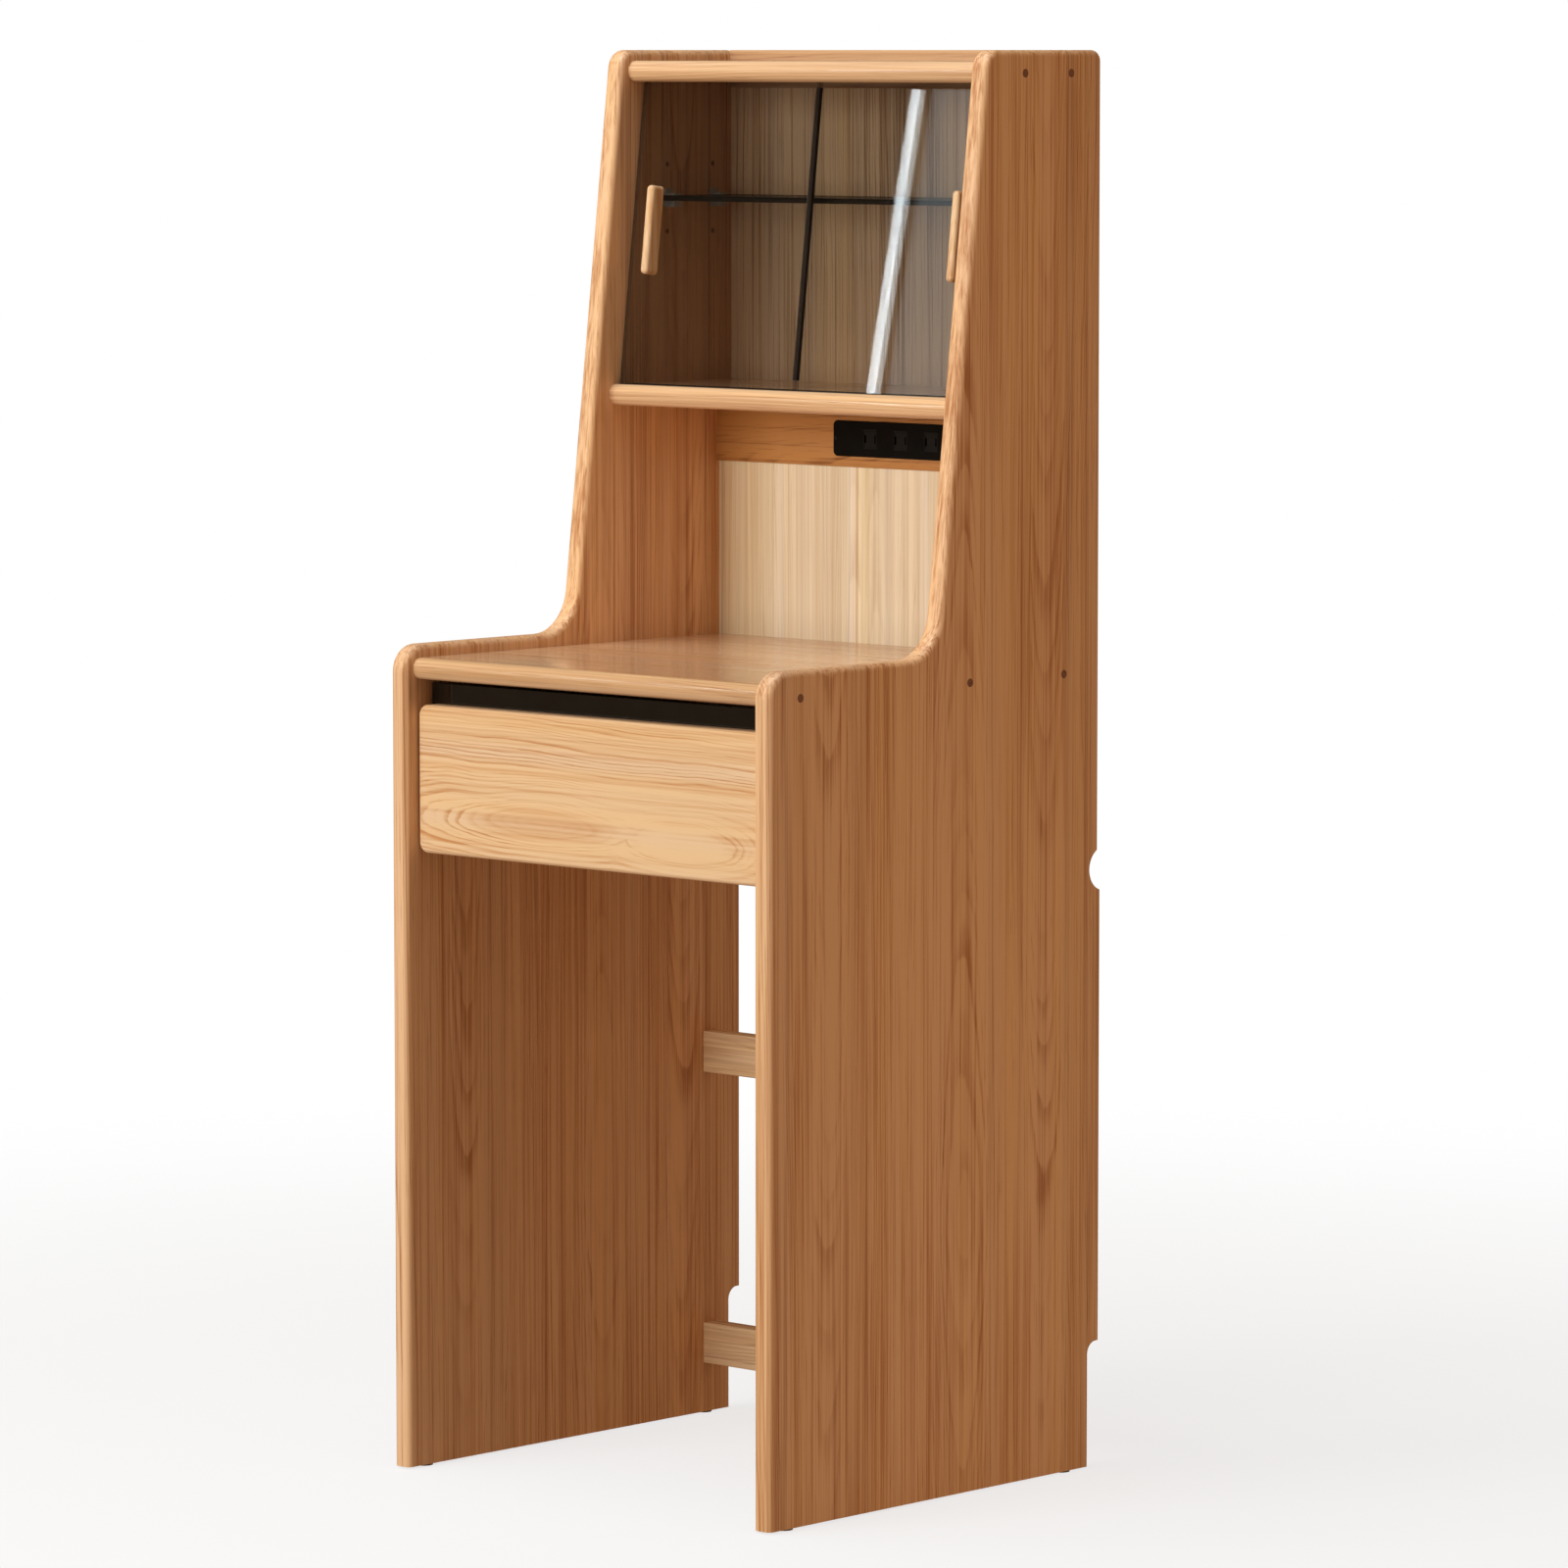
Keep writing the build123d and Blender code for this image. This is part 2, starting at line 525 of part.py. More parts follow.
# ---------------------------------------------------------------- drawer
with BuildPart() as drawer_front:
    with BuildSketch(Plane.XZ.offset(-DRAWER_FRONT)):
        with Locations((0, (DRAWER_FOOT + DRAWER_HEAD) / 2)):
            RectangleRounded(2 * (INNER - DRAWER_SIDE_GAP), DRAWER_HEAD - DRAWER_FOOT, 10.0)
    extrude(amount=-RAIL)
    fillet(drawer_front.faces().sort_by(Axis.Y)[0].edges(), 4.0)
    DRAWER_SCREWS = [(x, z) for x in (-150.0, 150.0) for z in (607.0, 642.0)]
    with Locations([(x, DRAWER_FRONT + RAIL - 6, z) for x, z in DRAWER_SCREWS]):
        Cylinder(2.0, 12, rotation=ALONG_Y, mode=Mode.SUBTRACT)
save(drawer_front, "drawer_front")

UPSTAND_FRONT = DRAWER_FRONT + RAIL
with BuildPart() as drawer_glass_upstand:
    edge = INNER - DRAWER_SIDE_GAP - 1
    depth = (UPSTAND_FRONT + SNUG, UPSTAND_FRONT + GLASS)
    slab(-edge, edge, *depth, UPSTAND_FOOT + FIT, UPSTAND_HEAD)
    chamfer(drawer_glass_upstand.edges().filter_by(Axis.X).group_by(Axis.Z)[-1], 0.5)
save(drawer_glass_upstand, "drawer_glass_upstand")

BOX_BOTTOM = (BOX_FOOT + 9.0, BOX_FOOT + 14.0)
BOX_INNER = BOX_OUTER - BOX_WALL
BOX_FRONT_REAR = UPSTAND_FRONT + GLASS + BOX_WALL
BOX_DOWELS = [(y - BOX_WALL / 2, z) for y in (BOX_FRONT_REAR, DRAWER_BACK) for z in (622.0, 671.0)]
BOX_DOWEL_IN_SIDE = 8.0
BOX_DOWEL_IN_END = 16.0


def box_dowel_holes():
    """Drills the dowel holes into both ends of the drawer's front or back board."""
    for y, z in BOX_DOWELS:
        for side in SIDES.values():
            ends = (side * (BOX_INNER - BOX_DOWEL_IN_END), side * BOX_INNER)
            peg(*ends, y, z, DOWEL_RADIUS, Mode.SUBTRACT)


for name, side in SIDES.items():
    profile = [
        (UPSTAND_FRONT, BOX_FOOT),
        (DRAWER_BACK, BOX_FOOT),
        (DRAWER_BACK, BOX_HEAD),
        (UPSTAND_FRONT + GLASS + FIT, BOX_HEAD),
        (UPSTAND_FRONT + GLASS + FIT, UPSTAND_FOOT),
        (UPSTAND_FRONT, UPSTAND_FOOT),
    ]
    with BuildPart() as drawer_side:
        with BuildSketch(Plane.YZ.offset(side * BOX_INNER)):
            with BuildLine():
                Polyline(*profile, close=True)
            make_face()
        extrude(amount=side * BOX_WALL)
        fillet(drawer_side.edges().filter_by(Axis.Y).group_by(Axis.Z)[-1], 2.5)
        groove = (side * (BOX_INNER - 1), side * (BOX_INNER + GROOVE), UPSTAND_FRONT + 8, DRAWER_BACK)
        slab(*groove, *BOX_BOTTOM, Mode.SUBTRACT)
        for y in SLIDE_SCREWS:
            ends = (side * BOX_OUTER, side * (BOX_OUTER - SLIDE_SCREW_LENGTH))
            peg(*ends, y, SLIDE_Z, SLIDE_SCREW_RADIUS, Mode.SUBTRACT)
        for y, z in BOX_DOWELS:
            ends = (side * BOX_INNER, side * (BOX_INNER + BOX_DOWEL_IN_SIDE))
            peg(*ends, y, z, DOWEL_RADIUS, Mode.SUBTRACT)
    save(drawer_side, f"drawer_side_{name}")

with BuildPart() as drawer_box_front:
    slab(-BOX_INNER, BOX_INNER, UPSTAND_FRONT, BOX_FRONT_REAR, BOX_FOOT, BOX_HEAD)
    rebate = (UPSTAND_FRONT, UPSTAND_FRONT + GLASS + FIT, UPSTAND_FOOT, BOX_HEAD)
    slab(-BOX_INNER, BOX_INNER, *rebate, Mode.SUBTRACT)
    slab(-BOX_INNER, BOX_INNER, BOX_FRONT_REAR - 8, BOX_FRONT_REAR, *BOX_BOTTOM, Mode.SUBTRACT)
    with Locations([(x, (UPSTAND_FRONT + BOX_FRONT_REAR) / 2, z) for x, z in DRAWER_SCREWS]):
        Cylinder(2.0, BOX_WALL + GLASS, rotation=ALONG_Y, mode=Mode.SUBTRACT)
    box_dowel_holes()
save(drawer_box_front, "drawer_box_front")

with BuildPart() as drawer_back:
    slab(-BOX_INNER, BOX_INNER, DRAWER_BACK - BOX_WALL, DRAWER_BACK, BOX_BOTTOM[1], BOX_HEAD)
    fillet(drawer_back.edges().filter_by(Axis.X).group_by(Axis.Z)[-1], 2.5)
    box_dowel_holes()
save(drawer_back, "drawer_back")

with BuildPart() as drawer_dowels:
    for y, z in BOX_DOWELS:
        for side in SIDES.values():
            inner_end = side * (BOX_INNER - BOX_DOWEL_IN_END + 0.5)
            peg(inner_end, side * (BOX_INNER + BOX_DOWEL_IN_SIDE - 0.5), y, z, DOWEL_RADIUS - SNUG)
save(drawer_dowels, "drawer_dowels")

with BuildPart() as drawer_bottom:
    edge = BOX_INNER + GROOVE - 0.3
    extent = (BOX_FRONT_REAR - 7.7, DRAWER_BACK, BOX_BOTTOM[0] + FIT, BOX_BOTTOM[1] - FIT)
    slab(-edge, edge, *extent)
save(drawer_bottom, "drawer_bottom")

with BuildPart() as drawer_front_screws:
    for x, z in DRAWER_SCREWS:
        with Locations((x, BOX_FRONT_REAR - 13.5, z)):
            Cylinder(2.0 - SNUG, 27, rotation=ALONG_Y)
        with Locations((x, BOX_FRONT_REAR + 1.0 + SNUG, z)):
            Cylinder(4.0, 2.0, rotation=ALONG_Y)
            with Locations((0, 1.0, 0)):
                Box(5, 1.2, 1, mode=Mode.SUBTRACT)
                Box(1, 1.2, 5, mode=Mode.SUBTRACT)
save(drawer_front_screws, "drawer_front_screws")


# ---------------------------------------------------------------- ball-bearing slides
# Each member is a channel, given by its web and the tips of its flanges, both as distances from
# the side panel's inner face, and by half its height.
OUTER_MEMBER = (0.1, 9.0, 22.5)
MIDDLE_MEMBER = (3.6, 10.6, 17.0)
INNER_MEMBER = (12.9, 6.4, 11.7)
# Each ball cage likewise, then the balls' distance from the panel and their radius.
OUTER_CAGE = (2.4, 8.8, 19.55, 6.3, 2.0)
INNER_CAGE = (5.3, 10.9, 14.15, 8.5, 1.9)
CAGE_STEEL = 0.8
CAGE_FRONT = SLIDE_FRONT + 90.0
CAGE_LENGTH = 160.0
BALLS = 6


def channel(side, web, tips, half, front=SLIDE_FRONT, length=SLIDE_LENGTH, steel=STEEL):
    """A steel channel along Y."""
    toward = 1 if tips > web else -1
    with BuildPart() as made:
        for s0, s1, z0, z1 in (
            (web, web + toward * steel, -half, half),
            (web, tips, half - steel, half),
            (web, tips, -half, -half + steel),
        ):
            x0, x1 = side * (INNER - s0), side * (INNER - s1)
            slab(x0, x1, front, front + length, SLIDE_Z + z0, SLIDE_Z + z1)
    return made


def screwed_channel(side, member):
    """A channel with clearance holes for its three screws in the web."""
    with BuildPart() as made:
        add(channel(side, *member).part)
        x = side * (INNER - member[0])
        for y in SLIDE_SCREWS:
            peg(x - 3, x + 3, y, SLIDE_Z, SLIDE_SCREW_RADIUS + FIT, Mode.SUBTRACT)
    return made


def ball_cage(side, web, tips, half, balls_at, ball_radius):
    """A thin channel with a row of loose balls in each flange."""
    x = side * (INNER - balls_at)
    flange = half - CAGE_STEEL / 2
    pitch = CAGE_LENGTH / BALLS
    seats = [
        (x, CAGE_FRONT + pitch * (i + 0.5), SLIDE_Z + edge * flange)
        for i in range(BALLS)
        for edge in (-1, 1)
    ]
    with BuildPart() as made:
        add(channel(side, web, tips, half, CAGE_FRONT, CAGE_LENGTH, CAGE_STEEL).part)
        with Locations(seats):
            Cylinder(ball_radius + 0.05, 3, mode=Mode.SUBTRACT)
            Sphere(ball_radius)
    return made


for name, side in SIDES.items():
    save(screwed_channel(side, OUTER_MEMBER), f"slide_outer_{name}")
    save(channel(side, *MIDDLE_MEMBER), f"slide_middle_{name}")
    save(screwed_channel(side, INNER_MEMBER), f"slide_inner_{name}")
    save(ball_cage(side, *OUTER_CAGE), f"slide_cage_outer_{name}")
    save(ball_cage(side, *INNER_CAGE), f"slide_cage_inner_{name}")


def slide_screws(face, direction):
    """Pan-head screws on both sides. face is the screw head's seat, from the side panel's inner face."""
    with BuildPart() as made:
        for side in SIDES.values():
            for y in SLIDE_SCREWS:
                seat = side * (INNER - face)
                tip = seat + side * direction * (SLIDE_SCREW_LENGTH + STEEL - 1)
                peg(seat, tip, y, SLIDE_Z, SLIDE_SCREW_RADIUS - SNUG)
                peg(seat, seat - side * direction * SLIDE_HEAD, y, SLIDE_Z, 3.2)
    return made


save(slide_screws(OUTER_MEMBER[0] + STEEL + SNUG, 1), "slide_screws_panel")
save(slide_screws(INNER_MEMBER[0] - STEEL - SNUG, -1), "slide_screws_drawer")

# ---------------------------------------------------------------- socket strip
WALL = 2.0
CAVITY = (BODY[0] + WALL, BODY[1] - WALL, BODY_Z[0] + WALL, BODY_Z[1] - WALL)
FACE = SOCKET_RAIL_FRONT - FLANGE
with BuildPart() as socket_housing:
    with BuildSketch(Plane.XZ.offset(-FACE)):
        with Locations(((STRIP_LEFT + STRIP_RIGHT) / 2, STRIP_Z)):
            RectangleRounded(STRIP_RIGHT - STRIP_LEFT, STRIP_HEIGHT, 5.0)
    extrude(amount=-FLANGE)
    fillet(socket_housing.faces().sort_by(Axis.Y)[0].edges(), 1.2)
    slab(*BODY, SOCKET_RAIL_FRONT, STRIP_REAR, *BODY_Z)
    slab(*CAVITY[:2], SOCKET_RAIL_FRONT + 1, STRIP_REAR, *CAVITY[2:], Mode.SUBTRACT)
    with Locations([(x, FACE, STRIP_Z) for x in OUTLETS]):
        Box(OUTLET_SIZE, 8, OUTLET_SIZE, mode=Mode.SUBTRACT)
    with Locations([(USB_X, FACE, z) for z in USB_Z]):
        Box(13.6, 8, 6.0, mode=Mode.SUBTRACT)
    with Locations([(x, SOCKET_RAIL_FRONT, STRIP_Z) for x in STRIP_SCREWS]):
        Cylinder(1.1, 8, rotation=ALONG_Y, mode=Mode.SUBTRACT)
    with Locations([(x, FACE, STRIP_Z) for x in STRIP_SCREWS]):
        Cylinder(1.75, STRIP_SCREW_SEAT * 2, rotation=ALONG_Y, mode=Mode.SUBTRACT)
    with Locations((BODY[1] - 12, GLAND_Y, BODY_Z[0])):
        Cylinder(3.5, 8, mode=Mode.SUBTRACT)
save(socket_housing, "socket_housing")

with BuildPart() as socket_screws:
    for x in STRIP_SCREWS:
        with Locations((x, FACE + 7.5, STRIP_Z)):
            Cylinder(1.0 - SNUG, 15, rotation=ALONG_Y)
        with Locations((x, FACE + STRIP_SCREW_SEAT - 0.5, STRIP_Z)):
            Cylinder(1.6, 1.0, rotation=ALONG_Y)
            with Locations((0, -0.5, 0)):
                Box(2.4, 0.8, 0.6, mode=Mode.SUBTRACT)
save(socket_screws, "socket_screws")

SLOT_PITCH = 12.7
CONTACT_Y = FACE + 8.0
with BuildPart() as outlet_inserts:
    for x in OUTLETS:
        for half, y0, y1, mode in (
            (OUTLET_SIZE / 2 - FIT, FACE + 0.6, FACE + 5.6, Mode.ADD),
            (OUTLET_SIZE / 2 - FIT - 1.5, FACE + 0.6, FACE + 1.2, Mode.SUBTRACT),
        ):
            slab(x - half, x + half, y0, y1, STRIP_Z - half, STRIP_Z + half, mode)
        for blade in (-1, 1):
            with Locations((x + blade * SLOT_PITCH / 2, FACE + 3, STRIP_Z)):
                Box(2.2, 8, 7.5, mode=Mode.SUBTRACT)
save(outlet_inserts, "outlet_inserts")

with BuildPart() as outlet_contacts:
    for blade in (-1, 1):
        first = OUTLETS[0] + blade * SLOT_PITCH / 2
        last = OUTLETS[-1] + blade * SLOT_PITCH / 2
        bar_z = STRIP_Z + blade * 6.5
        slab(first - 4, last + 4, CONTACT_Y + 8, CONTACT_Y + 9, bar_z - 2.5, bar_z + 2.5)
        for x in OUTLETS:
            middle = x + blade * SLOT_PITCH / 2
            for leaf in (-1, 1):
                leaf_x = middle + leaf * 1.3
                slab(leaf_x - 0.3, leaf_x + 0.3, CONTACT_Y, CONTACT_Y + 8, bar_z - 2.5, bar_z + 2.5)
save(outlet_contacts, "outlet_contacts")

with BuildPart() as usb_ports:
    for z in USB_Z:
        slab(USB_X - 6.7, USB_X + 6.7, FACE + 0.5, FACE + 14.5, z - 2.9, z + 2.9)
        slab(USB_X - 6.1, USB_X + 6.1, FACE + 0.5, FACE + 13, z - 2.3, z + 2.3, Mode.SUBTRACT)
        slab(USB_X - 5.0, USB_X + 5.0, FACE + 2.5, FACE + 13.5, z + 0.2, z + 1.6)
save(usb_ports, "usb_ports")

with BuildPart() as usb_board:
    slab(USB_X - 12, USB_X + 12, FACE + 14.6, FACE + 16.2, STRIP_Z - 10, STRIP_Z + 10)
    slab(USB_X - 9, USB_X - 1, FACE + 16.2, FACE + 22, STRIP_Z - 6, STRIP_Z + 2)
    slab(USB_X + 2, USB_X + 9, FACE + 16.2, FACE + 19, STRIP_Z - 4, STRIP_Z + 6)
save(usb_board, "usb_board")

with BuildPart() as socket_back_cover:
    slab(BODY[0], BODY[1], STRIP_REAR + SNUG, STRIP_REAR + 1.5, *BODY_Z)
    cover = (CAVITY[0] + FIT, CAVITY[1] - FIT, STRIP_REAR - 1.5, STRIP_REAR + 1)
    slab(*cover, CAVITY[2] + FIT, CAVITY[3] - FIT)
save(socket_back_cover, "socket_back_cover")

with BuildPart() as socket_cable_gland:
    with Locations((BODY[1] - 12, GLAND_Y, BODY_Z[0] - 4)):
        Cylinder(3.4, 11)
        Cylinder(2.2, 14, mode=Mode.SUBTRACT)
    with Locations((BODY[1] - 12, GLAND_Y, BODY_Z[0] - 1.3)):
        Cylinder(4.8, 2.5)
        Cylinder(3.0, 4, mode=Mode.SUBTRACT)
save(socket_cable_gland, "socket_cable_gland")

print("rake", round(degrees(RAKE_ANGLE), 2), "pane length", round(PANE_LENGTH, 1))
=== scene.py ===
"""Looks for the oak study carrel: materials, stage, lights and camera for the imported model."""

import json
import math
import random
from collections import namedtuple

import bpy
from mathutils import Matrix, Vector


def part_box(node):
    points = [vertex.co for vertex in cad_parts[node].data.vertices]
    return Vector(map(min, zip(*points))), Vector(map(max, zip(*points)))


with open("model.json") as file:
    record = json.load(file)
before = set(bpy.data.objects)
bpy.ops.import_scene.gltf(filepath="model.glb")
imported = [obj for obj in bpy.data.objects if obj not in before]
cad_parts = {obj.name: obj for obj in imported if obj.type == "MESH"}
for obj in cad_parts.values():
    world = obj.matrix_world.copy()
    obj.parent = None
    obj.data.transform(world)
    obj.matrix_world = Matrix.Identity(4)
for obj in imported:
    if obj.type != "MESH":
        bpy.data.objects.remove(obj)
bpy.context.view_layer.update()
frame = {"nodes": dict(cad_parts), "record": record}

# ------------------------------------------------------------------ camera
AZIMUTH = math.radians(42.89)
ELEVATION = math.radians(5.55)
DISTANCE = 7.003
AIM = Vector((0.0276, 0.0230, 0.6424))
LENS = 173.35
SENSOR = 36
FAR_CLIP = 200

toward = Vector((
    math.sin(AZIMUTH) * math.cos(ELEVATION),
    -math.cos(AZIMUTH) * math.cos(ELEVATION),
    math.sin(ELEVATION),
))
camera_data = bpy.data.cameras.new("camera")
camera_data.lens = LENS
camera_data.sensor_width = SENSOR
camera_data.clip_end = FAR_CLIP
camera = bpy.data.objects.new("camera", camera_data)
camera.location = AIM + toward * DISTANCE
camera.rotation_euler = toward.to_track_quat("Z", "Y").to_euler()
bpy.context.scene.collection.objects.link(camera)
bpy.context.scene.camera = camera


# ------------------------------------------------------------------ node graphs
MIX_A, MIX_B, MIX_RESULT = 6, 7, 2  # the Mix node's sockets when it mixes colours


def rgb(red, green, blue):
    return (red, green, blue, 1.0)


def scaled(colour, factor):
    return rgb(*[channel * factor for channel in colour[:3]])


class Graph:
    """One material's node tree, with short calls for the nodes that it uses."""

    def __init__(self, name):
        self.material = bpy.data.materials.new(name)
        self.material.use_nodes = True
        self.tree = self.material.node_tree
        self.shader = self.tree.nodes["Principled BSDF"]

    def plug(self, socket, value):
        if hasattr(value, "is_linked"):
            self.tree.links.new(value, socket)
        else:
            socket.default_value = value

    def node(self, kind, settings=(), **inputs):
        made = self.tree.nodes.new(kind)
        for name, value in dict(settings).items():
            setattr(made, name, value)
        for name, value in inputs.items():
            self.plug(made.inputs[name.replace("_", " ")], value)
        return made

    def math(self, operation, *values, clamp=False):
        made = self.node("ShaderNodeMath", {"operation": operation, "use_clamp": clamp})
        for socket, value in zip(made.inputs, values):
            self.plug(socket, value)
        return made.outputs[0]

    def add(self, *values):
        total = values[0]
        for value in values[1:]:
            total = self.math("ADD", total, value)
        return total

    def times(self, *values):
        total = values[0]
        for value in values[1:]:
            total = self.math("MULTIPLY", total, value)
        return total

    def vector(self, x, y, z):
        return self.node("ShaderNodeCombineXYZ", X=x, Y=y, Z=z).outputs[0]

    def point(self):
        """Where the shaded point is, in metres, by axis name."""
        place = self.node("ShaderNodeTexCoord").outputs["Object"]
        return dict(zip("xyz", self.node("ShaderNodeSeparateXYZ", Vector=place).outputs))

    def noise(self, vector, detail=2.0):
        """Noise from about -0.5 to 0.5."""
        made = self.node("ShaderNodeTexNoise", Vector=vector, Scale=1.0, Detail=detail)
        return self.math("SUBTRACT", made.outputs["Fac"], 0.5)

    def stretched(self, point, rates, detail=2.0, shift=0.0):
        """Noise whose cycles per metre are given for each axis."""
        x, y, z = [self.times(point[axis], rates[axis]) for axis in "xyz"]
        return self.noise(self.vector(self.math("ADD", x, shift), y, z), detail)

    def random(self, number):
        """A random number from 0 to 1 for each whole number."""
        made = self.node("ShaderNodeTexWhiteNoise", {"noise_dimensions": "1D"}, W=number)
        return made.outputs["Value"]

    def smooth(self, value, low, high, to_low=0.0, to_high=1.0):
        made = self.node("ShaderNodeMapRange", {"interpolation_type": "SMOOTHSTEP"}, Value=value)
        ends = {"From Min": low, "From Max": high, "To Min": to_low, "To Max": to_high}
        for name, number in ends.items():
            self.plug(made.inputs[name], number)
        return made.outputs["Result"]

    def mix(self, factor, a, b, blend="MIX"):
        made = self.node("ShaderNodeMix", {"data_type": "RGBA", "blend_type": blend})
        for number, value in ((0, factor), (MIX_A, a), (MIX_B, b)):
            self.plug(made.inputs[number], value)
        return made.outputs[MIX_RESULT]

    def edges(self, radius):
        """1 on edges and corners that hands rub and the light catches, 0 on flat faces."""
        rounded = self.node("ShaderNodeBevel", {"samples": 4}, Radius=radius).outputs[0]
        flat = self.node("ShaderNodeNewGeometry").outputs["Normal"]
        turn = self.node("ShaderNodeVectorMath", {"operation": "DOT_PRODUCT"})
        self.plug(turn.inputs[0], rounded)
        self.plug(turn.inputs[1], flat)
        return self.smooth(turn.outputs["Value"], 0.995, 0.86)

    def bump(self, height, distance, strength=1.0):
        made = self.node("ShaderNodeBump", Height=height, Distance=distance, Strength=strength)
        self.plug(self.shader.inputs["Normal"], made.outputs["Normal"])

    def set(self, **inputs):
        for name, value in inputs.items():
            self.plug(self.shader.inputs[name.replace("_", " ")], value)


# ------------------------------------------------------------------ wood
# One glued stave: where it starts across the face, where its tree's centre lies across and behind
# the face, the height where its rings come nearest, how much they fall away per metre from there,
# its tone, and how curly it is.
Stave = namedtuple("Stave", "start pith depth peak lean tone curl")

STRAIGHT = 0.11  # a centre this far to one side gives straight lines
ARCH_BLUNTNESS = 0.03  # how rounded the tip of a flat-sawn arch is, in metres
CURL_HEIGHT = 0.0045  # how far a fully curly stave's lines swing
RAMP_SHIFT = 2.0  # keeps the numbers in a colour ramp above zero

SIDE_STAVES = [
    Stave(-0.230, -0.30, 0.04, 0.0, 0.02, 0.96, 0.0),
    Stave(-0.172, -0.147, 0.05, 1.50, 0.034, 1.00, 0.2),
    Stave(-0.124, -0.20, 0.03, 0.6, 0.03, 0.95, 1.0),
    Stave(-0.093, -0.21, 0.05, 0.2, 0.02, 1.01, 0.1),
    Stave(-0.052, 0.08, 0.05, 0.2, 0.02, 1.03, 0.1),
    Stave(-0.009, 0.034, 0.052, 0.24, 0.036, 1.02, 0.25),
    Stave(0.067, 0.19, 0.04, 0.5, 0.02, 0.99, 0.1),
    Stave(0.125, 0.146, 0.045, 1.60, 0.036, 1.00, 0.2),
    Stave(0.172, 0.27, 0.03, 0.9, 0.04, 0.93, 0.6),
]


def planks(seed, low, high, widths, flat=0.4, tone=0.06):
    """Staves of mixed width and cut between two places, the same each run."""
    luck = random.Random(seed)
    staves, at = [], low
    while at < high:
        width = luck.uniform(*widths)
        aside = luck.uniform(-0.2, 0.2) * width
        if luck.random() > flat:
            aside = luck.choice((-1, 1)) * luck.uniform(0.7, 1.3) * STRAIGHT
        staves.append(Stave(
            at,
            at + width / 2 + aside,
            luck.uniform(0.03, 0.06),
            luck.uniform(-0.9, 1.9),
            luck.uniform(0.025, 0.045),
            1 + luck.uniform(-tone, tone),
            luck.uniform(0.0, 0.4),
        ))
        at += width
    return staves


def stave_values(g, face, staves):
    """Each stave's numbers, looked up by the place across the face."""
    low, high = staves[0].start, staves[-1].start + 0.3
    place = g.math("DIVIDE", g.math("SUBTRACT", face, low), high - low)
    values = []
    for names in (("pith", "depth", "peak"), ("lean", "tone", "curl")):
        ramp = g.node("ShaderNodeValToRGB", Fac=place)
        ramp.color_ramp.interpolation = "CONSTANT"
        stops = ramp.color_ramp.elements
        stops.remove(stops[1])
        for number, stave in enumerate(staves):
            stop = stops[0] if number == 0 else stops.new((stave.start - low) / (high - low))
            stop.position = (stave.start - low) / (high - low)
            stop.color = rgb(*[getattr(stave, name) + RAMP_SHIFT for name in names])
        parts = g.node("ShaderNodeSeparateColor", Color=ramp.outputs["Color"]).outputs
        values += [g.math("SUBTRACT", part, RAMP_SHIFT) for part in list(parts)[:3]]
    return values


def sawn_rings(g, along, face, depth, staves, wander):
    """Each point's distance from its tree's middle, its tone, extra shade and line strength."""
    pith, behind, peak, lean, tone, curl = stave_values(g, face, staves)
    aside = g.math("SUBTRACT", face, pith)
    inward = g.add(behind, depth)
    radius = g.math("SQRT", g.add(g.times(aside, aside), g.times(inward, inward)))
    from_peak = g.math("SUBTRACT", along, peak)
    fall = g.math("SQRT", g.add(g.times(from_peak, from_peak), ARCH_BLUNTNESS ** 2))
    radius = g.add(radius, g.times(fall, lean))
    shift = g.times(pith, 40.0)

    def wave(lengthwise, crosswise):
        """Noise by its cycles per metre along and across the stave, different in each stave."""
        place = g.add(g.times(along, lengthwise), shift)
        return g.noise(g.vector(place, g.times(face, crosswise), g.times(depth, crosswise)))

    radius = g.add(
        radius,
        g.times(wave(1.7, 9.0), wander * 2.0),
        g.times(wave(13.0, 55.0), wander * 0.22),
        g.times(wave(34.0, 30.0), curl, CURL_HEIGHT),
    )
    return radius, tone, 0.0, 1.0


LIGHT_OAK = rgb(0.80, 0.478, 0.252)
DARK_OAK = rgb(0.46, 0.182, 0.064)


